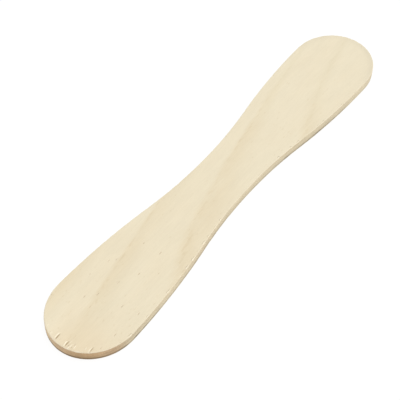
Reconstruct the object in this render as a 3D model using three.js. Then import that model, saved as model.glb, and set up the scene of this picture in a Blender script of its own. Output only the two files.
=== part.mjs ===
// A clay modelling tool: one flat, double-ended paddle cut from a single piece of birch.
//
// Both ends are the same broad blade with an elliptical tip. Long, gently curved flanks
// lead from each blade into a narrow, hollow waist, which is where the fingers hold it.
// The tool lies flat: X runs along it, Z is up, and the origin is the middle of its
// underside. All sizes are in millimetres.

import * as THREE from 'three';

// Driving dimensions.
const LENGTH = 150;       // tip to tip
const BLADE_WIDTH = 26.4; // across the widest part of each blade
const WAIST_WIDTH = 17.2; // across the narrowest part, at the middle
const THICKNESS = 3.2;
const TIP_DEPTH = 14.8;   // length of the rounded tip, from its point to the widest part
const WAIST_REACH = 25;   // from the middle to where the hollow waist becomes a full flank
const EDGE_BREAK = 0.3;   // the sharp corners are sanded off by this much

// How finely the curves are divided, in straight steps.
const TIP_STEPS = 24;
const FLANK_STEPS = 8;
const WAIST_STEPS = 8;
const EDGE_STEPS = 3;

// The wood's colour and surface.
const BIRCH = { color: 0xede0c5, roughness: 0.68, metalness: 0 };

// Points along an arc of an ellipse, leaving out the last one: the next arc starts there.
function arcPoints(centreX, centreY, radiusX, radiusY, startAngle, endAngle, steps) {
  const clockwise = endAngle < startAngle;
  const arc = new THREE.EllipseCurve(
    centreX, centreY, radiusX, radiusY, startAngle, endAngle, clockwise,
  );
  return arc.getPoints(steps).slice(0, -1);
}

// One quarter of the outline, from the +X tip to the middle of the +Y side. It is three
// arcs, each tangent to the next: an elliptical tip, a full flank and a hollow waist.
function quarterOutline() {
  const bladeHalf = BLADE_WIDTH / 2;
  const waistHalf = WAIST_WIDTH / 2;
  const shoulderX = LENGTH / 2 - TIP_DEPTH;

  // The flank and the waist turn through the same angle, one each way.
  const turn = 2 * Math.atan((bladeHalf - waistHalf) / shoulderX);
  const waistRadius = WAIST_REACH / Math.sin(turn);
  const flankRadius = (shoulderX - WAIST_REACH) / Math.sin(turn);

  const up = Math.PI / 2;
  const tip = arcPoints(shoulderX, 0, TIP_DEPTH, bladeHalf, 0, up, TIP_STEPS);
  const flank = arcPoints(
    shoulderX, bladeHalf - flankRadius, flankRadius, flankRadius, up, up + turn, FLANK_STEPS,
  );
  const waist = arcPoints(
    0, waistHalf + waistRadius, waistRadius, waistRadius, -up + turn, -up, WAIST_STEPS,
  );
  return [...tip, ...flank, ...waist, new THREE.Vector2(0, waistHalf)];
}

// The whole outline: the quarter mirrored to the other blade gives the upper side, and
// the upper side turned half a turn gives the lower one.
function paddleOutline() {
  const quarter = quarterOutline();
  const mirrored = quarter.slice(0, -1).reverse().map((p) => new THREE.Vector2(-p.x, p.y));
  const upperSide = [...quarter, ...mirrored.slice(0, -1)];
  const lowerSide = upperSide.map((p) => new THREE.Vector2(-p.x, -p.y));
  return new THREE.Shape([...upperSide, ...lowerSide]);
}

// The paddle itself: the outline cut square through the board, then every corner broken.
function makePaddle() {
  const geometry = new THREE.ExtrudeGeometry(paddleOutline(), {
    depth: THICKNESS - 2 * EDGE_BREAK,
    bevelEnabled: true,
    bevelThickness: EDGE_BREAK,
    bevelSize: EDGE_BREAK,
    bevelOffset: -EDGE_BREAK,
    bevelSegments: EDGE_STEPS,
  });
  const paddle = new THREE.Mesh(geometry, new THREE.MeshStandardMaterial(BIRCH));
  paddle.name = 'birch_paddle';
  paddle.position.z = EDGE_BREAK;
  return paddle;
}

const clayTool = new THREE.Group();
clayTool.name = 'clay_modelling_tool';
clayTool.add(makePaddle());

export default clayTool;
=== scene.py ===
"""A clay modelling tool in bare birch, lying on a white studio floor.

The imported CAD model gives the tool's length, width, thickness and place. This script
builds the finely meshed wooden board that stands for it, with sanded corners, short
splits at the tips and a solid birch material: the growth rings run through the wood as
real rings do, so the faces, the flanks and the tips all show the same board.

Shapes are worked out in millimetres and turned into metres when a mesh is made.
"""

import math
import random

import bpy
import numpy as np
from mathutils import Matrix, Vector, noise
from mathutils.geometry import delaunay_2d_cdt
from mathutils.kdtree import KDTree


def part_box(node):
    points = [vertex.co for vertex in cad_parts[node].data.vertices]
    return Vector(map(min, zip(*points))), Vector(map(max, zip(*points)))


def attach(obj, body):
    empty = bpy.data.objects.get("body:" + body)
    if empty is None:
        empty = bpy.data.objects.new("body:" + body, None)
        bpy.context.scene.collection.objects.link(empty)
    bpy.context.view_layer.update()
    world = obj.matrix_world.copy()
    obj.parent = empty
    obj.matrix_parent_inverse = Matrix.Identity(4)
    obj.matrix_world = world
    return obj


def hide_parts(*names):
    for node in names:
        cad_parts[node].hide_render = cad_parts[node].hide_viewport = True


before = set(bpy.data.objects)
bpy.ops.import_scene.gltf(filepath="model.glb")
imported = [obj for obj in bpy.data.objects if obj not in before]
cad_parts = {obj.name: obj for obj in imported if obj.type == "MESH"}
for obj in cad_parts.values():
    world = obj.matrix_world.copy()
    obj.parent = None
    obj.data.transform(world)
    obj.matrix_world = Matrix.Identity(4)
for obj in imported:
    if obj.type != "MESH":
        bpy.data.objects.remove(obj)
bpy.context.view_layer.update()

# ---------------------------------------------------------------- sizes, in millimetres

MM = 0.001
CAD_NODE = "birch_paddle"

cad_low, cad_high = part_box(CAD_NODE)
LENGTH, BLADE_WIDTH, THICKNESS = (side / MM for side in cad_high - cad_low)

# The outline's other sizes, as shares of the CAD box.
WAIST_WIDTH = BLADE_WIDTH * 0.6515
TIP_DEPTH = LENGTH * 0.0987
WAIST_REACH = LENGTH * 0.1667

BLADE_HALF = BLADE_WIDTH / 2
WAIST_HALF = WAIST_WIDTH / 2
SHOULDER_X = LENGTH / 2 - TIP_DEPTH

UPPER, LOWER = 1, -1      # the two faces, as the directions they look along Z

# The sanded corner along every edge: how round it is on the flanks, how much rounder on
# the tips, where end grain sands away faster, and how uneven it is. The lower corner is
# crisper. Neither is larger than CORNER_LIMIT.
CORNER_ON_FLANK = 0.24
CORNER_EXTRA_ON_TIP = 0.22
SLOW_UNEVENNESS = 0.042
QUICK_UNEVENNESS = 0.056
LOWER_CORNER_SHARE = 0.5
CORNER_LIMIT = 0.64

# Where the corner is torn: slivers along the flanks, crumbs on the tips. A slope is how
# steeply the edge crosses the fibres, from 0 on a straight flank to 1 at a tip's end.
SLIVER_PITCH = 3.2              # at most one sliver lies in each stretch of X this long
SLIVER_LENGTHS = (0.3, 0.85)    # as shares of that stretch
SLIVER_DEPTHS = (-0.06, 0.50)   # below 0 means that there is no sliver
LEVEL_SLIVER_SHARE = 0.3        # how much of its depth a sliver has where the slope is 0
DEPTH_SHARE_PER_SLOPE = 9
SLIVERS_FADE = (0.25, 0.75)     # the slopes where slivers start to fade and are gone
FAR_SLIVER_SHARE = 0.45         # how much of their depth those on the +Y side have
CRUMB_DEPTH = 0.6
CRUMB_THRESHOLD = 0.08          # how far above its middle the noise is where a crumb starts
# How pale torn corners are painted, as fresh fibre and a painted highlight; a crack counts as torn
# below 0, so it is painted dark as its shadow.
TORN_PALENESS = 1.8
SHALLOWEST_CRACKED = 0.09       # slivers deeper than this have a crack behind them
CRACK_PER_DEPTH = 1.5           # how fast the crack deepens with the sliver
DEEPEST_CRACK = 0.26
LOWER_TORN_SHARE = 0.15

# How long the waves of unevenness are, along and across the fibres.
SLOW_WAVE = (6.0, 6.0)
QUICK_WAVE = (1.3, 0.9)
CRUMB_WAVE = (1.1, 0.7)

# The waves that the saw and the sanding left, as (height, length along the fibres, length
# across them, seed).
RIM_RIPPLE = (0.018, 1.7, 1.7, 11.0)
RIM_SWELL = (0.03, 9.0, 9.0, 4.0)
FACE_WAVES = ((0.022, 34.0, 8.0, 3.1), (0.008, 7.0, 1.1, 7.7))

# How closely the mesh follows the outline and fills the faces.
FLANK_SPACING = 0.28
TIP_SPACING = 0.13
FILL_SPACING = 0.60
EDGE_MARGIN = 0.70        # the faces' flat fill starts this far in from the edge
MARGIN_STEPS = 2
CORNER_STEPS = 5
WALL_STEPS = 8
SAME_PLACE = 1e-6         # points of a face closer than this are one point

TIP_X = LENGTH / 2

# Marks in the wood run along the fibres, on X. Each is a groove with a raised lip, or a
# raised tuft of fibre with a groove beside it if its depth is negative:
# (middle X, middle Y, length, half width, depth).
UPPER_SPLITS = (
    (-TIP_X + 1.75, 2.15, 2.4, 0.24, 0.26),
    (-TIP_X + 1.65, -1.25, 2.1, 0.22, 0.25),
    (-TIP_X + 4.0, -7.6, 2.2, 0.21, 0.20),
    (-TIP_X + 1.4, 1.15, 1.1, 0.18, 0.08),
    (-TIP_X + 1.4, -1.95, 0.8, 0.18, 0.16),
    (-TIP_X + 1.4, -2.95, 0.9, 0.18, 0.16),
    (-TIP_X + 2.5, -3.1, 0.9, 0.18, 0.16),
    (-TIP_X + 5.9, -9.2, 1.2, 0.17, 0.14),
    (TIP_X - 1.7, -3.4, 0.9, 0.15, 0.10),
)
LOWER_SPLITS = (
    (-TIP_X + 1.7, -3.1, 2.0, 0.24, 0.22),
    (-TIP_X + 2.6, 5.2, 1.2, 0.19, 0.16),
    (TIP_X - 1.5, 1.3, 1.8, 0.23, 0.22),
    (TIP_X - 3.0, 6.6, 1.1, 0.18, 0.14),
)

# The middles of the pale tufts of fibre between the splits of the -X tip.
UPPER_TUFTS = (
    (-TIP_X + 2.8, 6.5), (-TIP_X + 1.6, 4.3), (-TIP_X + 1.5, -0.75), (-TIP_X + 2.6, -1.75),
    (-TIP_X + 1.8, -2.5), (-TIP_X + 0.9, -2.3), (-TIP_X + 2.0, -3.6), (-TIP_X + 3.4, -6.2),
)

# The middles of the small dashes that stand out on the upper face: pores that the
# sanding opened. Fainter ones are scattered over both faces.
UPPER_DASHES = (
    (-60.9, 1.4), (-56.4, 2.4), (-59.2, 4.8), (-52.6, 8.4), (-44.3, 5.8), (-45.9, 7.2),
    (-50.0, 0.4), (-44.4, -2.3), (-35.1, -2.6), (-35.2, 3.3), (-41.0, -6.5), (-54.7, -10.4),
    (-63.7, -9.6), (-55.6, -5.4),
)
BOLD = 1.2                # how deep these are, against the range below
FAINT = 0.5
FAINT_DASHES_PER_FACE = 30
DASH_CROWDING = 1.3       # above 1 there are more of them towards the -X blade
DASH_EDGE_GAP = 1.5
DASH_SPREAD = 0.4         # how much wider than at the waist they spread on the blades
DASH_CLEARANCE = (3, 1.2) # along and across the fibres

# The lowest and highest sizes of a tuft and of a dash, which are drawn at random.
MARKS_SEED = 7
TUFT_LENGTHS = (1.1, 1.6)
TUFT_HALF_WIDTHS = (0.17, 0.24)
TUFT_HEIGHTS = (0.08, 0.12)
DASH_LENGTHS = (0.8, 1.5)
DASH_HALF_WIDTHS = (0.12, 0.18)
DASH_DEPTHS = (0.10, 0.16)

# The shape of a mark, in its own half lengths, half widths and depths.
BEND = 0.14
BEND_RATE = 2.6
BEND_SHIFT = 9            # varies the bend with the mark's Y
BLUNTNESS = 0.4           # how wide the ends of the groove are
LIP_SLIDE = 0.4           # how far the lip may have slid along the mark
LIP_SLIDE_SHIFTS = (37, 11)  # vary that with the mark's X and Y
LIP_REACH = 1.2
LIP_PLACE = 1.5
LIP_SHARPNESS = 2.2
LIP_HEIGHT = 0.25
# How pale a lip is painted, as fresh fibre and a painted highlight.
LIP_PALENESS = 0.7
FULL_LIP_HALF_WIDTH = 0.22  # in millimetres: narrower marks have less of a lip
LIP_LOSS_POWER = 4
DEEPEST_MARK = 0.26
MARK_REACH = 0.9          # how far down the wall the faces' marks are felt

# The finer mesh round a mark.
PATCH_HALF_WIDTHS = 3     # how far it reaches to each side, in the mark's half widths
PATCH_MARGIN = 0.34       # how far it reaches past that and past the ends
PATCH_GAP = 0.1           # between it and the coarser mesh
PATCH_STEP = (0.14, 0.08) # along and across the fibres


# ---------------------------------------------------------------- the outline

def arc(centre_x, centre_y, radius_x, radius_y, start, end, points=600):
    """Closely spaced points along an arc of an ellipse, without its last point."""
    angles = np.linspace(start, end, points, endpoint=False)
    x = centre_x + radius_x * np.cos(angles)
    y = centre_y + radius_y * np.sin(angles)
    return np.stack([x, y], axis=1)


def quarter_outline():
    """From the +X tip to the middle of the +Y side, as three tangent arcs."""
    turn = 2 * math.atan((BLADE_HALF - WAIST_HALF) / SHOULDER_X)
    waist_radius = WAIST_REACH / math.sin(turn)
    flank_radius = (SHOULDER_X - WAIST_REACH) / math.sin(turn)
    up = math.pi / 2
    flank_y = BLADE_HALF - flank_radius
    waist_y = WAIST_HALF + waist_radius
    tip = arc(SHOULDER_X, 0, TIP_DEPTH, BLADE_HALF, 0, up)
    flank = arc(SHOULDER_X, flank_y, flank_radius, flank_radius, up, up + turn)
    waist = arc(0, waist_y, waist_radius, waist_radius, turn - up, -up)
    return np.concatenate([tip, flank, waist, [[0, WAIST_HALF]]])


def whole_outline():
    """The closed outline, anticlockwise from the +X tip."""
    quarter = quarter_outline()
    mirrored = quarter[:-1][::-1] * (-1, 1)
    upper_side = np.concatenate([quarter, mirrored[:-1]])
    return np.concatenate([upper_side, -upper_side])


def column_spacing(points):
    """The wanted distance between mesh columns at each point of the outline."""
    return np.where(np.abs(points[:, 0]) > SHOULDER_X, TIP_SPACING, FLANK_SPACING)


def outline_columns():
    """Points of the outline where mesh columns stand, and the outward direction at each."""
    dense = whole_outline()
    ahead = np.roll(dense, -1, axis=0)
    behind = np.roll(dense, 1, axis=0)
    along = (ahead - behind) / np.linalg.norm(ahead - behind, axis=1, keepdims=True)
    outward = np.stack([along[:, 1], -along[:, 0]], axis=1)

    steps = np.linalg.norm(ahead - dense, axis=1) / column_spacing(dense)
    travelled = np.concatenate([[0], np.cumsum(steps)])
    count = int(round(travelled[-1]))
    wanted = np.arange(count) * travelled[-1] / count

    def at_columns(values):
        closed = np.concatenate([values, values[:1]])
        return np.stack([np.interp(wanted, travelled, side) for side in closed.T], axis=1)

    normals = at_columns(outward)
    return at_columns(dense), normals / np.linalg.norm(normals, axis=1, keepdims=True)


# ---------------------------------------------------------------- marks and unevenness

def uneven(point, along, across, seed):
    """Smooth noise from -1 to 1, drawn out along the fibres."""
    x, y, z = point
    return noise.noise(Vector((x / along + seed, y / across - seed, z / across + 2 * seed)))


def torn_sliver(place, outward, side):
    """How deep a sliver of wood is torn out of a flank's corner at one place.

    The fibres run along X. Where the edge slants across them a sliver has a blunt end and
    tapers away from it, and where the edge follows them it is shallow. Each stretch has its
    own sliver on each face and side."""
    on_far_side = place[1] > 0
    stretch, through = divmod(place[0] / SLIVER_PITCH, 1)
    rng = random.Random(int(stretch) * 8 + side * 2 + int(on_far_side))
    length = rng.uniform(*SLIVER_LENGTHS)
    start = rng.uniform(0, 1 - length)
    depth = max(0, rng.uniform(*SLIVER_DEPTHS))
    if on_far_side:
        depth *= FAR_SLIVER_SHARE
    along = (through - start) / length
    if not 0 < along < 1:
        return 0.0
    if outward[0] > 0:
        along = 1 - along
    slope = abs(outward[0])
    blunt = min(1, LEVEL_SLIVER_SHARE + DEPTH_SHARE_PER_SLOPE * slope)
    on_flank = np.interp(slope, SLIVERS_FADE, (1, 0))
    return depth * along * blunt * on_flank


def sanded_corner(place, outward, side):
    """At one place on the outline: how round the corner is, how deep it is torn, and how
    deep a crack there is behind it."""
    point = (*place, 0)
    seed = 1.37 * side
    on_tip = outward[0] ** 2
    size = CORNER_ON_FLANK + CORNER_EXTRA_ON_TIP * on_tip
    size += SLOW_UNEVENNESS * uneven(point, *SLOW_WAVE, seed)
    size += QUICK_UNEVENNESS * uneven(point, *QUICK_WAVE, seed + 5)
    crumb = max(0.0, uneven(point, *CRUMB_WAVE, seed + 9) - CRUMB_THRESHOLD)
    sliver = torn_sliver(place, outward, side)
    crack = min(DEEPEST_CRACK, CRACK_PER_DEPTH * max(0, sliver - SHALLOWEST_CRACKED))
    torn = sliver + CRUMB_DEPTH * crumb * on_tip
    if side == LOWER:
        size *= LOWER_CORNER_SHARE
        torn *= LOWER_TORN_SHARE
        crack = 0
    return min(size + torn, CORNER_LIMIT), torn, crack


def tuft(rng, x, y):
    """One tuft of raised fibre as a mark."""
    length = rng.uniform(*TUFT_LENGTHS)
    half_width = rng.uniform(*TUFT_HALF_WIDTHS)
    return x, y, length, half_width, -rng.uniform(*TUFT_HEIGHTS)


def dash(rng, x, y, boldness):
    """One small dash as a mark."""
    length = rng.uniform(*DASH_LENGTHS)
    half_width = rng.uniform(*DASH_HALF_WIDTHS)
    return x, y, length, half_width, boldness * rng.uniform(*DASH_DEPTHS)


def scattered_dashes(rng):
    """Faint dashes, more of them towards the -X blade. None touches another."""
    dashes = []
    while len(dashes) < FAINT_DASHES_PER_FACE:
        x = SHOULDER_X * (2 * rng.random() ** DASH_CROWDING - 1)
        spread = 1 + DASH_SPREAD * abs(x) / SHOULDER_X
        y = (WAIST_HALF - DASH_EDGE_GAP) * rng.uniform(-1, 1) * spread
        gaps = [(abs(x - other[0]), abs(y - other[1])) for other in dashes]
        if all(along > DASH_CLEARANCE[0] or across > DASH_CLEARANCE[1] for along, across in gaps):
            dashes.append(dash(rng, x, y, FAINT))
    return dashes


def mark_relief(points, marks):
    """How far the marks lift each point of a face, and how they are painted there.

    A mark is a slightly bent, lens-shaped groove. Its lip has slid a little way along it,
    and a narrow mark has hardly any lip. The paint is above 0 in a groove, up to about 1,
    where its shadow is painted, and below 0 on a lip, which is painted pale as fresh fibre
    and a painted highlight."""
    lift = np.zeros(len(points))
    mark_shadow_and_paleness = np.zeros(len(points))
    for middle_x, middle_y, length, half_width, depth in marks:
        along = (points[:, 0] - middle_x) / (length / 2)
        bend = BEND * np.sin(BEND_RATE * along + BEND_SHIFT * middle_y)
        across = (points[:, 1] - middle_y) / half_width - bend
        taper = np.clip(1 - along ** 2, 0, 1)
        width = BLUNTNESS + (1 - BLUNTNESS) * taper
        groove = np.sqrt(taper) * np.clip(1 - np.abs(across) / width, 0, 1)
        slide_phase = LIP_SLIDE_SHIFTS[0] * middle_x + LIP_SLIDE_SHIFTS[1] * middle_y
        slide = LIP_SLIDE * math.sin(slide_phase)
        lip_share = min(1, half_width / FULL_LIP_HALF_WIDTH) ** LIP_LOSS_POWER
        lip_taper = np.clip(LIP_REACH - np.abs(along - slide), 0, 1) * lip_share
        lip = lip_taper * np.exp(-LIP_SHARPNESS * (across - LIP_PLACE) ** 2)
        lift += depth * (LIP_HEIGHT * lip - groove)
        # Shadow is painted in the groove, and the lip is painted pale, partly as a highlight.
        mark_shadow_and_paleness += depth * (groove - LIP_PALENESS * lip) / DEEPEST_MARK
    return lift, mark_shadow_and_paleness


# ---------------------------------------------------------------- the board's mesh

def rim_section(upper, lower):
    """The board's edge in section, from face to face, as (distance in, height).

    The upper and lower corners have their own sizes."""
    angles = np.linspace(0, math.pi / 2, CORNER_STEPS + 1)
    insets = 1 - np.sin(angles)
    drops = 1 - np.cos(angles)
    upper_margin = np.linspace(EDGE_MARGIN, upper, MARGIN_STEPS, endpoint=False)
    lower_margin = np.linspace(EDGE_MARGIN, lower, MARGIN_STEPS, endpoint=False)
    wall = np.linspace(THICKNESS - upper, lower, WALL_STEPS + 1)[1:-1]

    section = [(inset, THICKNESS) for inset in upper_margin]
    section += [(upper * inset, THICKNESS - upper * drop) for inset, drop in zip(insets, drops)]
    section += [(0.0, height) for height in wall]
    section += [(lower * inset, lower * drop) for inset, drop in zip(insets[::-1], drops[::-1])]
    return section + [(inset, 0.0) for inset in lower_margin[::-1]]


def lattice(low, high, step):
    """Staggered rows of points over a rectangle, with the rows along X."""
    points = []
    rows = int((high[1] - low[1]) / step[1]) + 1
    columns = int((high[0] - low[0]) / step[0]) + 1
    for row in range(rows):
        for column in range(columns):
            x = low[0] + (column + 0.5 * (row % 2)) * step[0]
            points.append((x, low[1] + row * step[1]))
    return points


def fill_points(loop, marks):
    """Points that fill a loop evenly, with a finer patch round each mark."""
    patches = []
    for middle_x, middle_y, length, half_width, _depth in marks:
        reach = np.array([length / 2, PATCH_HALF_WIDTHS * half_width]) + PATCH_MARGIN
        patches.append((np.array([middle_x, middle_y]) - reach, (middle_x, middle_y) + reach))

    row_height = FILL_SPACING * math.sqrt(3) / 2
    points = lattice((-TIP_X, -BLADE_HALF), (TIP_X, BLADE_HALF), (FILL_SPACING, row_height))
    points = np.array(points)
    for low, high in patches:
        inside = np.all((points > low) & (points < high), axis=1)
        points = points[~inside]
    fine = [lattice(low + PATCH_GAP, high - PATCH_GAP, PATCH_STEP) for low, high in patches]
    points = np.concatenate([points] + fine)

    upper = loop[loop[:, 1] > 0]
    upper = upper[np.argsort(upper[:, 0])]
    half_width = np.interp(points[:, 0], upper[:, 0], upper[:, 1], left=0.0, right=0.0)
    points = points[np.abs(points[:, 1]) < half_width]
    rim = KDTree(len(loop))
    for number, (x, y) in enumerate(loop):
        rim.insert((x, y, 0), number)
    rim.balance()
    return [(x, y) for x, y in points if rim.find((x, y, 0))[2] > PATCH_STEP[0]]


def face_fill(loop, marks):
    """Points and triangles that fill the loop; the loop's own points come first."""
    count = len(loop)
    points = [Vector(p) for p in loop] + [Vector(p) for p in fill_points(loop, marks)]
    edges = [(i, (i + 1) % count) for i in range(count)]
    made = delaunay_2d_cdt(points, edges, [list(range(count))], 1, SAME_PLACE)
    return [tuple(point) for point in made[0]], made[2]


def plain_board(marks):
    """The board before wear, as its points, the outward direction of those on the rim, how
    torn the rim is at each, which is below 0 in a crack, and the faces. A crack runs where
    the flat of the upper face meets its rounded corner."""
    places, normals = outline_columns()
    columns = len(places)
    points, outwards, torn, faces = [], [], [], []
    for place, outward in zip(places, normals):
        upper_size, upper_torn, crack = sanded_corner(place, outward, UPPER)
        lower_size, lower_torn, _no_crack = sanded_corner(place, outward, LOWER)
        for row, (inset, height) in enumerate(rim_section(upper_size, lower_size)):
            x, y = place - outward * inset
            outwards.append(outward)
            # A crack is kept as torn below 0, so it is painted dark as its shadow.
            if row == MARGIN_STEPS and crack > 0:
                points.append((x, y, height - crack))
                torn.append(-crack)
                continue
            points.append((x, y, height))
            upper_share = max(0, 1 - (THICKNESS - height) / upper_size)
            lower_share = max(0, 1 - height / lower_size)
            deep = upper_share * upper_torn + lower_share * lower_torn
            torn.append(deep * (1 - inset / EDGE_MARGIN))

    rows = len(points) // columns
    for column in range(columns):
        here = column * rows
        following = (column + 1) % columns * rows
        for row in range(rows - 1):
            faces.append((here + row, here + row + 1, following + row + 1, following + row))

    inner_loop = places - normals * EDGE_MARGIN
    for side, loop_row, height in ((UPPER, 0, THICKNESS), (LOWER, rows - 1, 0.0)):
        fill, triangles = face_fill(inner_loop, marks[side])
        numbers = [column * rows + loop_row for column in range(columns)]
        for x, y in fill[columns:]:
            numbers.append(len(points))
            points.append((x, y, height))
            outwards.append((0, 0))
            torn.append(0.0)
        for triangle in triangles:
            corners = [numbers[i] for i in triangle]
            faces.append(corners if side == UPPER else corners[::-1])
    return np.array(points), np.array(outwards), np.array(torn), faces


def wave(point, shape, side=1):
    """The height at one point of a wave given as (height, length, width, seed). Each side
    has a wave of its own."""
    height, along, across, seed = shape
    return height * uneven(point, along, across, seed * side)


def weather(points, outwards, torn, marks):
    """Moves the plain board's points to where sanding and splitting left them, and returns
    how each is painted: shadow in grooves and cracks, and paleness on lips and torn
    corners, partly a painted highlight. The rim's swell is the same at every height."""
    for number in np.nonzero(outwards.any(axis=1))[0]:
        ripple = wave(points[number], RIM_RIPPLE) + wave(points[number] * (1, 1, 0), RIM_SWELL)
        points[number, :2] += outwards[number] * ripple

    mark_shadow_and_paleness = np.zeros(len(points))
    for side, face_height in ((UPPER, THICKNESS), (LOWER, 0.0)):
        felt = np.clip(1 - np.abs(points[:, 2] - face_height) / MARK_REACH, 0, 1)
        near = np.nonzero(felt)[0]
        lift, mark_paint = mark_relief(points[near], marks[side])
        for place, number in enumerate(near):
            lift[place] += sum(wave(points[number], shape, side) for shape in FACE_WAVES)
        points[near, 2] += side * felt[near] * lift
        # Torn corners are painted pale, partly as a highlight, and cracks dark as their shadow.
        mark_shadow_and_paleness[near] += felt[near] * (mark_paint - TORN_PALENESS * torn[near])
    return mark_shadow_and_paleness


def make_board():
    """The wooden board as an object, with how each point is painted for its material: shadow
    in its marks and paleness on their lips.
    """
    rng = random.Random(MARKS_SEED)
    marks = {UPPER: list(UPPER_SPLITS), LOWER: list(LOWER_SPLITS)}
    marks[UPPER] += [tuft(rng, x, y) for x, y in UPPER_TUFTS]
    marks[UPPER] += [dash(rng, x, y, BOLD) for x, y in UPPER_DASHES]
    for side in (UPPER, LOWER):
        marks[side] += scattered_dashes(rng)
    points, outwards, torn, faces = plain_board(marks)
    mark_shadow_and_paleness = weather(points, outwards, torn, marks)

    mesh = bpy.data.meshes.new("paddle_wood")
    mesh.from_pydata(points * MM, [], faces)
    mesh.polygons.foreach_set("use_smooth", [True] * len(mesh.polygons))
    mark_paint = mesh.attributes.new("mark_shadow_and_paleness", "FLOAT", "POINT")
    mark_paint.data.foreach_set("value", mark_shadow_and_paleness)
    mesh.update()
    board = bpy.data.objects.new("paddle_wood", mesh)
    bpy.context.scene.collection.objects.link(board)
    return board


# ---------------------------------------------------------------- shader building

class Recipe:
    """Builds the nodes of a material or world. Every method but finish returns an output
    that others can use."""

    def __init__(self, owner):
        owner.use_nodes = True
        self.owner = owner
        self.tree = owner.node_tree
        self.tree.nodes.clear()

    def node(self, kind, inputs=(), output=0, **settings):
        """One output of a new node. inputs maps its inputs' names or numbers to values or
        to other nodes' outputs, and settings are the node's own properties."""
        made = self.tree.nodes.new(kind)
        for name, value in settings.items():
            setattr(made, name, value)
        for name, value in dict(inputs).items():
            if isinstance(value, bpy.types.NodeSocket):
                self.tree.links.new(value, made.inputs[name])
            else:
                made.inputs[name].default_value = value
        return made.outputs[output]

    def maths(self, operation, *values):
        return self.node("ShaderNodeMath", dict(enumerate(values)), operation=operation)

    def axes(self, vector):
        """The vector's X, Y and Z."""
        parts = self.tree.nodes.new("ShaderNodeSeparateXYZ")
        self.tree.links.new(vector, parts.inputs[0])
        return tuple(parts.outputs)

    def add(self, *values):
        total = values[0]
        for value in values[1:]:
            total = self.maths("ADD", total, value)
        return total

    def times(self, *values):
        product = values[0]
        for value in values[1:]:
            product = self.maths("MULTIPLY", product, value)
        return product

    def rest(self, share):
        """What share leaves of 1."""
        return self.maths("SUBTRACT", 1.0, share)

    def ramp(self, value, low, high, to_low=0.0, to_high=1.0):
        """Eases from to_low to to_high as value goes from low to high."""
        inputs = {"Value": value, "From Min": low, "From Max": high}
        inputs.update({"To Min": to_low, "To Max": to_high})
        return self.node("ShaderNodeMapRange", inputs, interpolation_type="SMOOTHSTEP")

    def ramp_along(self, x, start, end, to_start=0.0, to_end=1.0):
        """A ramp along the tool. start and end are shares of its length: the tips are at
        -0.5 and 0.5."""
        return self.ramp(x, start * LENGTH, end * LENGTH, to_start, to_end)

    def ramp_across(self, y, start, end, to_start=0.0, to_end=1.0):
        """A ramp across a blade, whose widest points are at -1 and 1."""
        return self.ramp(y, start * BLADE_HALF, end * BLADE_HALF, to_start, to_end)

    def mix(self, amount, first, second, blend="MIX"):
        """A mix of two colours, or first changed by second as blend says."""
        inputs = {0: amount, 6: first, 7: second}
        return self.node("ShaderNodeMix", inputs, 2, data_type="RGBA", blend_type=blend)

    def shaded(self, base, amount):
        """base made lighter or darker by a factor near 1."""
        grey = self.node("ShaderNodeCombineColor", {0: amount, 1: amount, 2: amount})
        return self.mix(1.0, base, grey, "MULTIPLY")

    def stretched(self, place, along, across, shift=0.0):
        """place scaled so that a pattern is along mm long on X and across mm wide."""
        scale = (1 / along, 1 / across, 1 / across)
        inputs = {"Vector": place, "Scale": scale, "Location": (shift, shift, shift)}
        return self.node("ShaderNodeMapping", inputs)

    def cloud(self, place, along, across, detail=2.0, shift=0.0, roughness=0.5):
        """Smooth noise from about 0 to 1, centred on 0.5."""
        inputs = {"Vector": self.stretched(place, along, across, shift), "Scale": 1.0}
        inputs.update({"Detail": detail, "Roughness": roughness})
        return self.node("ShaderNodeTexNoise", inputs)

    def centred_cloud(self, place, along, across, detail=2.0, shift=0.0):
        """Smooth noise from about -0.5 to 0.5."""
        return self.add(self.cloud(place, along, across, detail, shift), -0.5)

    def finish(self, surface):
        """Makes surface the result and returns the material or world."""
        in_world = isinstance(self.owner, bpy.types.World)
        kind = "ShaderNodeOutputWorld" if in_world else "ShaderNodeOutputMaterial"
        result = self.tree.nodes.new(kind)
        self.tree.links.new(surface, result.inputs["Surface"])
        return self.owner


def colour(hex_code):
    """A screen colour such as "ede0c5" as the linear values that shaders use."""
    parts = [int(hex_code[i:i + 2], 16) / 255 for i in (0, 2, 4)]
    linear = [p / 12.92 if p <= 0.04045 else ((p + 0.055) / 1.055) ** 2.4 for p in parts]
    return (*linear, 1.0)


# ---------------------------------------------------------------- birch

# Where the board sat in the tree. The pith is the centre of the rings: it ran below this
# flat-sawn board and a little to its -Y side. Sizes are in millimetres.
PITH_Y = -18.2
PITH_BELOW = 112.6
RING_PITCH = 2.4
RING_RUNOUT = 0.0384      # how fast the fibres climb out of the rings along X
RING_AT_CENTRE = -0.094   # which ring the middle of the upper face lies in
RING_SWAY = 0.20          # how far the rings wander, in rings
RING_RAGGEDNESS = 0.14

# How strongly each feature's colour shows, from 0 to 1.
LATE_WOOD_SHARE = 0.60
RING_LINE_SHARE = 0.27
FLECK_SHARE = 0.25
SMUDGES_ON_NEAR_BLADE = 0.24
SMUDGES_BEYOND = 0.05
# The pale lips and torn corners are partly a painted highlight.
LIP_SHARE = 0.92

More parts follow.
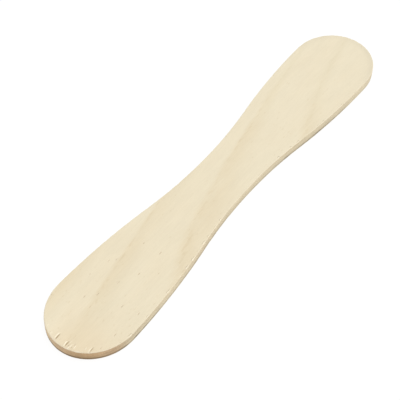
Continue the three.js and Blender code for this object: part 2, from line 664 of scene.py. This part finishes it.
# Wood colours, and the painted shade, shadow and highlights of the walls, the foot, the
# marks and the corners. A tint multiplies the colour under it.
PALE_WOOD = colour("e6dbc0")
WARM_WOOD = colour("e5d5b6")
LATE_WOOD = colour("decead")
FAR_LATE_WOOD = colour("dccfae")      # towards the +X blade
RING_LINE = colour("ccb893")
PAINTED_WALL_SHADE = colour("f5f1e9")         # of the walls: painted shade, darker and a little warmer than the faces
END_GRAIN = colour("c6a985")          # of the -X tip
PALER_END_GRAIN = colour("d8c6a3")   # of the +X tip, painted paler as painted light
TOASTED_TINT = colour("f3eee4")       # of the darkest part of the -X tip's wall
# Pale torn fibre on lips, tufts and torn corners, partly a painted highlight.
TORN_FIBRE = colour("fbf0d5")
# Pale upper corners: partly wear, partly a painted highlight.
WORN_AND_HIGHLIT_CORNER = colour("ecdfc7")
# The painted contact shadow along the foot of the walls.
FOOT_SHADOW_PAINT = colour("4d3c28")
# Painted shadow in the splits, the dashes and the cracks behind torn slivers.
SPLIT_SHADE = colour("b19b79")

# How rough the wood is, and how much rougher or smoother each feature makes it.
WOOD_ROUGHNESS = 0.54
FIBRE_ROUGHNESS = 0.14
LATE_WOOD_ROUGHNESS = -0.05
END_GRAIN_ROUGHNESS = 0.16

# How high each feature stands in the bump, in units of BUMP_DISTANCE millimetres.
FIBRE_HEIGHT = 0.6
FLECK_HEIGHT = -0.8
CUT_END_HEIGHT = 1.6
BUMP_DISTANCE = 0.05
BUMP_STRENGTH = 0.35
SPECULAR_LEVEL = 0.35


def growth_rings(recipe, place):
    """How far through its yearly ring each point lies: 0 is spring, 1 the next spring."""
    x, y, z = recipe.axes(place)
    sideways = recipe.add(y, -PITH_Y)
    upward = recipe.add(z, PITH_BELOW - THICKNESS)
    squares = recipe.add(recipe.times(sideways, sideways), recipe.times(upward, upward))
    radius = recipe.maths("SQRT", squares)
    rings_out = recipe.times(recipe.add(radius, -math.hypot(PITH_Y, PITH_BELOW)), 1 / RING_PITCH)
    runout = recipe.times(x, -RING_RUNOUT / RING_PITCH)
    sway = recipe.times(recipe.centred_cloud(place, 48, 13, detail=1.0), RING_SWAY)
    ragged = recipe.centred_cloud(place, 5, 0.5, detail=3.0, shift=4.0)
    ragged = recipe.times(ragged, RING_RAGGEDNESS)
    return recipe.maths("FRACT", recipe.add(rings_out, runout, sway, ragged, RING_AT_CENTRE))


def paler_corner(recipe, x, y):
    """Painted light: a factor that makes the +Y side of the -X tip a little paler."""
    paleness = recipe.ramp_along(x, -0.5, -0.37, 0.03, 0.0)
    return recipe.add(1.0, recipe.times(paleness, recipe.ramp_across(y, -0.2, 0.5)))


def darker_rim(recipe, x, y):
    """A factor that makes the rim of the +X tip a little darker, mostly on its -Y side."""
    along = recipe.times(recipe.add(x, -SHOULDER_X), 1 / TIP_DEPTH)
    across = recipe.times(y, 1 / BLADE_HALF)
    squares = recipe.add(recipe.times(along, along), recipe.times(across, across))
    near_rim = recipe.ramp(recipe.maths("SQRT", squares), 0.80, 0.98)
    on_tip = recipe.ramp(x, SHOULDER_X - 0.2 * TIP_DEPTH, SHOULDER_X + 0.3 * TIP_DEPTH)
    share = recipe.ramp_across(y, -0.6, 0.2, 0.08, 0.035)
    return recipe.rest(recipe.times(near_rim, on_tip, share))


def early_wood(recipe, place):
    """The wood between the growth lines: pale, with slow warm patches, and warmest on the
    -Y side of the -X tip."""
    x, y, _z = recipe.axes(place)
    drift = recipe.add(0.13, recipe.times(x, -0.27 / LENGTH))
    toasted_tip = recipe.times(
        recipe.ramp_along(x, -0.5, -0.38, 0.7, 0.0),
        recipe.ramp_across(y, -0.1, 0.6, 1.0, -0.3),
    )
    patches = recipe.times(recipe.centred_cloud(place, 22, 7, shift=9.0), 0.8)
    warmth = recipe.ramp(recipe.add(drift, toasted_tip, patches), -0.15, 1.15)
    return recipe.mix(warmth, PALE_WOOD, WARM_WOOD)


def late_wood(recipe, place, base):
    """base with the growth lines in it, and how much late wood shows at each point.

    Late wood darkens slowly towards the end of each ring, then fades within a millimetre.
    Towards the +X blade it is narrower and fainter, and it comes and goes everywhere. The
    line at its end is drawn only here and there, as dashes along the fibres."""
    through_ring = growth_rings(recipe, place)
    x, _y, _z = recipe.axes(place)
    far = recipe.ramp_along(x, 0.1, 0.35)
    start = recipe.add(0.44, recipe.times(far, 0.40))
    rising = recipe.ramp(through_ring, start, 0.97)
    faded = recipe.add(0.085, recipe.times(far, 0.06))
    falling = recipe.ramp(through_ring, 0.0, faded, 0.8, 0.0)
    near_tip = recipe.ramp_along(x, -0.5, -0.4, 0.45, 1.0)
    coming = recipe.ramp(recipe.cloud(place, 14, 5, shift=21.0), 0.34, 0.6, 0.6, 1.0)
    strength = recipe.times(recipe.rest(recipe.times(far, 0.6)), near_tip, coming)
    late = recipe.times(recipe.maths("MAXIMUM", rising, falling), strength)
    tone = recipe.mix(far, LATE_WOOD, FAR_LATE_WOOD)
    base = recipe.mix(recipe.times(late, LATE_WOOD_SHARE), base, tone)

    broken = recipe.ramp(recipe.cloud(place, 3.2, 0.8, shift=40.0), 0.44, 0.62)
    line = recipe.times(recipe.ramp(through_ring, 0.93, 0.98), strength, broken)
    return recipe.mix(recipe.times(line, RING_LINE_SHARE), base, RING_LINE), late


def face_colour(recipe, place):
    """The colour of the sanded faces, and how much late wood shows in them."""
    x, y, _z = recipe.axes(place)
    base, late = late_wood(recipe, place, early_wood(recipe, place))
    fibres = recipe.cloud(place, 5, 0.30, detail=3.0, shift=2.0, roughness=0.62)
    base = recipe.shaded(base, recipe.ramp(fibres, 0.25, 0.75, 0.982, 1.016))
    mottling = recipe.cloud(place, 8, 2.2, shift=17.0)
    base = recipe.shaded(base, recipe.ramp(mottling, 0.3, 0.7, 0.988, 1.01))
    # Painted light on the +Y side of the -X tip.
    base = recipe.shaded(base, recipe.times(paler_corner(recipe, x, y), darker_rim(recipe, x, y)))

    # Faint grey smudges, mostly on the -X blade.
    smudges = recipe.ramp(recipe.cloud(place, 1.7, 0.9, shift=73.0), 0.62, 0.76)
    share = recipe.ramp_along(x, -0.38, -0.28, SMUDGES_ON_NEAR_BLADE, SMUDGES_BEYOND)
    return recipe.mix(recipe.times(smudges, share), base, RING_LINE), late


def fleck_mask(recipe, place):
    """Sparse short dashes: birch's smallest pores."""
    cells = {"Vector": recipe.stretched(place, 2.6, 0.9, shift=3.0), "Scale": 1.0}
    near = recipe.ramp(recipe.node("ShaderNodeTexVoronoi", cells), 0.10, 0.22, 1.0, 0.0)
    lottery = recipe.node("ShaderNodeTexVoronoi", cells, "Color")
    chosen = recipe.ramp(recipe.node("ShaderNodeSeparateColor", {0: lottery}), 0.78, 0.86)
    return recipe.times(near, chosen)


def end_grain_colour(recipe, place):
    """Cut fibre ends: darker, speckled with pores, with the rings showing as bands.

    The +X tip is painted paler, as painted light where the light falls on it, so the -X tip
    is the darker one, mostly on its -Y side. The +X tip darkens only towards its very end,
    where the fibres are cut squarely across."""
    x, y, _z = recipe.axes(place)
    far_half = recipe.ramp_along(x, -0.1, 0.1)
    paler_side = recipe.ramp_across(y, -0.1, 0.45, 0.0, 0.45)
    # Painted light: the +X tip's end grain is paler where the light falls on it; the -X tip's +Y
    # side takes some of that paler colour.
    cut = recipe.mix(recipe.maths("MAXIMUM", far_half, paler_side), END_GRAIN, PALER_END_GRAIN)
    toasted = recipe.times(
        recipe.ramp_across(y, -0.86, -0.62),
        recipe.ramp_across(y, -0.45, 0.0, 1.0, 0.0),
        recipe.rest(far_half),
    )
    cut = recipe.mix(toasted, cut, TOASTED_TINT, "MULTIPLY")
    end_lightness = recipe.times(
        recipe.ramp_across(y, -0.3, 0.5, 1.0, 1.07),
        recipe.ramp_along(x, 0.46, 0.495, 1.0, 0.80),
    )
    pores = recipe.cloud(place, 0.9, 0.17, shift=5.0, roughness=0.7)
    pores = recipe.ramp(pores, 0.32, 0.68, 0.90, 1.07)
    blotches = recipe.ramp(recipe.cloud(place, 2.2, 2.2, shift=13.0), 0.3, 0.7, 0.94, 1.07)
    ring_bands = recipe.ramp(growth_rings(recipe, place), 0.55, 0.95, 1.03, 0.91)
    return recipe.shaded(cut, recipe.times(pores, blotches, ring_bands, end_lightness))


def edge_masks(recipe, place):
    """Where the surface is wall, end grain, a rounded upper corner, and the foot of the wall,
    where a contact shadow is painted. That painted shadow is faint on the +X blade."""
    normal_x, _normal_y, normal_z = recipe.axes(recipe.node("ShaderNodeNewGeometry", (), "Normal"))
    steepness = recipe.maths("ABSOLUTE", normal_z)
    wall = recipe.ramp(steepness, 0.3, 0.85, 1.0, 0.0)
    across_fibres = recipe.ramp(recipe.maths("ABSOLUTE", normal_x), 0.05, 0.43)
    x, _y, z = recipe.axes(place)
    foot_shadow_reach = recipe.ramp_along(x, 0.30, 0.40, 1.0, 0.15)
    end = recipe.times(across_fibres, wall)
    # The rounded upper corner, which is painted pale in patches: partly wear, partly a painted
    # highlight.
    rising = recipe.ramp(normal_z, 0.35, 0.8)
    corner = recipe.times(rising, recipe.ramp(normal_z, 0.85, 0.995, 1.0, 0.0))
    # The foot of the wall, where a contact shadow is painted, faint on the +X blade.
    low = recipe.times(recipe.ramp(z, 0.05, 0.55, 0.35, 1.0), recipe.ramp(z, 0.4, 1.3, 1.0, 0.0))
    foot = recipe.times(low, foot_shadow_reach, recipe.ramp(normal_z, -0.98, -0.6))
    return wall, end, corner, foot


def wall_shade(recipe, place, end):
    """A factor for the walls: painted shade darkens them towards the foot, and they vary in
    blotches. The flank of the +X blade and the shoulder of the -X one are darker, and the +X
    tip is painted paler, as painted light where the light falls on it."""
    x, _y, z = recipe.axes(place)
    on_far_flank = recipe.times(
        recipe.ramp_along(x, 0.02, 0.14),
        recipe.ramp_along(x, 0.28, 0.38, -0.06, 0.0),
    )
    at_near_shoulder = recipe.times(
        recipe.ramp_along(x, -0.42, -0.28, -0.15, 0.0),
        recipe.ramp(z, 0.3 * THICKNESS, 0.6 * THICKNESS),
        recipe.rest(end),
    )
    # Painted light: the walls of the +X tip are made paler.
    light_on_far_tip = recipe.ramp_along(x, 0.4, 0.47, 0.0, 0.12)
    # Painted shade: the walls darken towards the foot.
    shade_towards_foot = recipe.ramp(z, 0.0, THICKNESS, 0.95, 1.05)
    blotches = recipe.ramp(recipe.cloud(place, 3.0, 1.6, shift=51.0), 0.3, 0.7, 0.94, 1.05)
    places = recipe.add(1.0, light_on_far_tip, on_far_flank, at_near_shoulder)
    return recipe.times(shade_towards_foot, blotches, places)


def foot_shadow_share(recipe, place, end):
    """How dark the painted contact shadow along the foot of the wall is: patchy along the
    flanks, darkest beyond the waist on the +X side and at the -X shoulder, and even on
    the end grain."""
    x, _y, _z = recipe.axes(place)
    darker_beyond_waist = recipe.times(
        recipe.ramp_along(x, 0.08, 0.14),
        recipe.ramp_along(x, 0.22, 0.34, 0.32, 0.0),
    )
    near_shoulder = recipe.ramp_along(x, -0.41, -0.31, 0.45, 0.0)
    shadow_along = recipe.add(0.24, darker_beyond_waist, near_shoulder)
    patchy = recipe.ramp(recipe.cloud(place, 4.0, 4.0, shift=57.0), 0.38, 0.62, 0.6, 1.4)
    end_foot_shadow = recipe.ramp_along(x, -0.48, -0.44, 0.74, 0.54)
    flank_share = recipe.times(shadow_along, patchy, recipe.rest(end))
    return recipe.add(flank_share, recipe.times(end, end_foot_shadow))


def edge_shade_and_wear(recipe, place, base, masks):
    """base with painted shade on the walls, darker towards the foot, a painted contact
    shadow along the foot, and upper corners pale in patches, partly from wear and partly
    a painted highlight."""
    wall, end, corner, foot = masks
    # Painted shade on the walls, darker towards the foot.
    base = recipe.mix(wall, base, recipe.shaded(base, wall_shade(recipe, place, end)))
    # A painted contact shadow along the foot of the walls.
    foot_shadow = recipe.times(foot, foot_shadow_share(recipe, place, end))
    base = recipe.mix(foot_shadow, base, FOOT_SHADOW_PAINT)
    # Upper corners painted pale in patches: partly wear, partly a painted highlight.
    rubbed_and_highlit = recipe.ramp(recipe.cloud(place, 2.4, 1.4, shift=61.0), 0.38, 0.62, 0.15, 0.95)
    return recipe.mix(recipe.times(corner, rubbed_and_highlit), base, WORN_AND_HIGHLIT_CORNER)


def birch():
    """Bare, fine-sanded birch."""
    recipe = Recipe(bpy.data.materials.new("bare_birch"))
    here = recipe.node("ShaderNodeTexCoord", (), "Object")
    place = recipe.node("ShaderNodeVectorMath", {0: here, "Scale": 1 / MM}, operation="SCALE")
    masks = edge_masks(recipe, place)
    wall, end = masks[:2]
    flecks = fleck_mask(recipe, place)

    base, late = face_colour(recipe, place)
    base = recipe.mix(recipe.times(flecks, FLECK_SHARE), base, RING_LINE)
    # Painted shade: the walls are tinted darker than the faces.
    base = recipe.mix(wall, base, PAINTED_WALL_SHADE, "MULTIPLY")
    base = recipe.mix(end, base, end_grain_colour(recipe, place))
    # Painted shade and contact shadow on the walls, and pale corners, partly wear and partly a
    # painted highlight.
    base = edge_shade_and_wear(recipe, place, base, masks)

    mark_shadow_and_paleness = recipe.node("ShaderNodeAttribute", (), "Fac", attribute_name="mark_shadow_and_paleness")
    # Painted shadow in grooves and cracks; pale lips, tufts and torn corners, partly a painted
    # highlight.
    base = recipe.mix(recipe.ramp(mark_shadow_and_paleness, 0.05, 0.8), base, SPLIT_SHADE)
    base = recipe.mix(recipe.ramp(mark_shadow_and_paleness, -0.04, -0.4, 0.0, LIP_SHARE), base, TORN_FIBRE)

    fibres = recipe.cloud(place, 9, 0.16, detail=3.0, shift=31.0, roughness=0.7)
    cut_ends = recipe.times(end, recipe.cloud(place, 0.7, 0.12, shift=8.0, roughness=0.7))
    roughness = recipe.add(
        recipe.times(fibres, FIBRE_ROUGHNESS),
        recipe.times(late, LATE_WOOD_ROUGHNESS),
        recipe.times(end, END_GRAIN_ROUGHNESS),
        WOOD_ROUGHNESS,
    )
    height = recipe.add(
        recipe.times(fibres, FIBRE_HEIGHT),
        recipe.times(flecks, FLECK_HEIGHT),
        recipe.times(cut_ends, CUT_END_HEIGHT),
    )
    relief = {"Height": height, "Strength": BUMP_STRENGTH, "Distance": BUMP_DISTANCE * MM}
    surface = {"Base Color": base, "Roughness": roughness, "Specular IOR Level": SPECULAR_LEVEL}
    surface["Normal"] = recipe.node("ShaderNodeBump", relief)
    return recipe.finish(recipe.node("ShaderNodeBsdfPrincipled", surface))


# ---------------------------------------------------------------- the studio

# The floor is a light table: most of its brightness is its own, which keeps the shadow
# round the tool thin. All brightnesses are linear, with 1 as white on screen, and sizes
# are in metres.
FLOOR_HALF = 40.0
FLOOR_GAP = 0.05 * MM      # how far it lies below the tool, to keep the two faces apart
FLOOR_GREY = 0.12
SKY_LIGHT = 0.80           # what the even sky casts on things
BACKDROP = 1.0             # how bright the sky looks to the camera
FLOOR_GLOW = BACKDROP - FLOOR_GREY * SKY_LIGHT
KEY_POWER = 264.0          # watts
KEY_SIZE = 7.2
KEY_PLACE = (3.6, -1.6, 7.6)


def make_floor():
    """A wide plain floor just under the tool."""
    recipe = Recipe(bpy.data.materials.new("studio_floor"))
    surface = {"Base Color": (FLOOR_GREY, FLOOR_GREY, FLOOR_GREY, 1.0), "Specular IOR Level": 0.0}
    surface.update({"Emission Color": (1.0, 1.0, 1.0, 1.0), "Emission Strength": FLOOR_GLOW})
    material = recipe.finish(recipe.node("ShaderNodeBsdfPrincipled", surface))

    mesh = bpy.data.meshes.new("floor")
    signs = ((-1, -1), (1, -1), (1, 1), (-1, 1))
    corners = [(x * FLOOR_HALF, y * FLOOR_HALF, 0) for x, y in signs]
    mesh.from_pydata(corners, [], [(0, 1, 2, 3)])
    mesh.materials.append(material)
    floor = bpy.data.objects.new("floor", mesh)
    floor.location.z = cad_low.z - FLOOR_GAP
    bpy.context.scene.collection.objects.link(floor)


def make_sky():
    """Even light from all round. The camera sees it as a backdrop as bright as the floor."""
    recipe = Recipe(bpy.data.worlds.new("studio"))
    seen = recipe.node("ShaderNodeLightPath", (), "Is Camera Ray")
    strength = recipe.add(SKY_LIGHT, recipe.times(seen, BACKDROP - SKY_LIGHT))
    sky = {"Color": (1.0, 1.0, 1.0, 1.0), "Strength": strength}
    bpy.context.scene.world = recipe.finish(recipe.node("ShaderNodeBackground", sky))


def make_light():
    """One large soft light high overhead."""
    lamp = bpy.data.lights.new("key_light", "AREA")
    lamp.shape = "DISK"
    lamp.size = KEY_SIZE
    lamp.energy = KEY_POWER
    key = bpy.data.objects.new("key_light", lamp)
    key.location = KEY_PLACE
    key.rotation_euler = Vector(KEY_PLACE).to_track_quat("Z", "Y").to_euler()
    bpy.context.scene.collection.objects.link(key)


# The camera looks down on the tool from beyond its -X tip. Distances are shares of the
# tool's length, so the view keeps its framing.
VIEW_AZIMUTH = -55.06
VIEW_ELEVATION = 50.39
VIEW_ROLL = 1.9
VIEW_DISTANCE = 2.0866
VIEW_AIM = (-0.0781, 0.0051)
VIEW_LENS = 95.6


def make_camera():
    """A long-lens camera aimed a little short of the tool's middle."""
    azimuth = math.radians(VIEW_AZIMUTH)
    elevation = math.radians(VIEW_ELEVATION)
    level = math.cos(elevation)
    back = Vector((math.sin(azimuth) * level, -math.cos(azimuth) * level, math.sin(elevation)))
    aim = Vector((VIEW_AIM[0] * LENGTH, VIEW_AIM[1] * LENGTH, THICKNESS / 2)) * MM
    lens = bpy.data.cameras.new("camera")
    lens.lens = VIEW_LENS
    camera = bpy.data.objects.new("camera", lens)
    roll = Matrix.Rotation(math.radians(VIEW_ROLL), 3, "Z")
    turn = back.to_track_quat("Z", "Y").to_matrix() @ roll
    place = aim + back * VIEW_DISTANCE * LENGTH * MM
    camera.matrix_world = Matrix.Translation(place) @ turn.to_4x4()
    bpy.context.scene.collection.objects.link(camera)
    bpy.context.scene.camera = camera


# ---------------------------------------------------------------- the scene

board = make_board()
board.data.materials.append(birch())
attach(board, "root")
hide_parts(CAD_NODE)

make_floor()
make_sky()
make_light()
make_camera()
bpy.context.scene.view_settings.view_transform = "Standard"
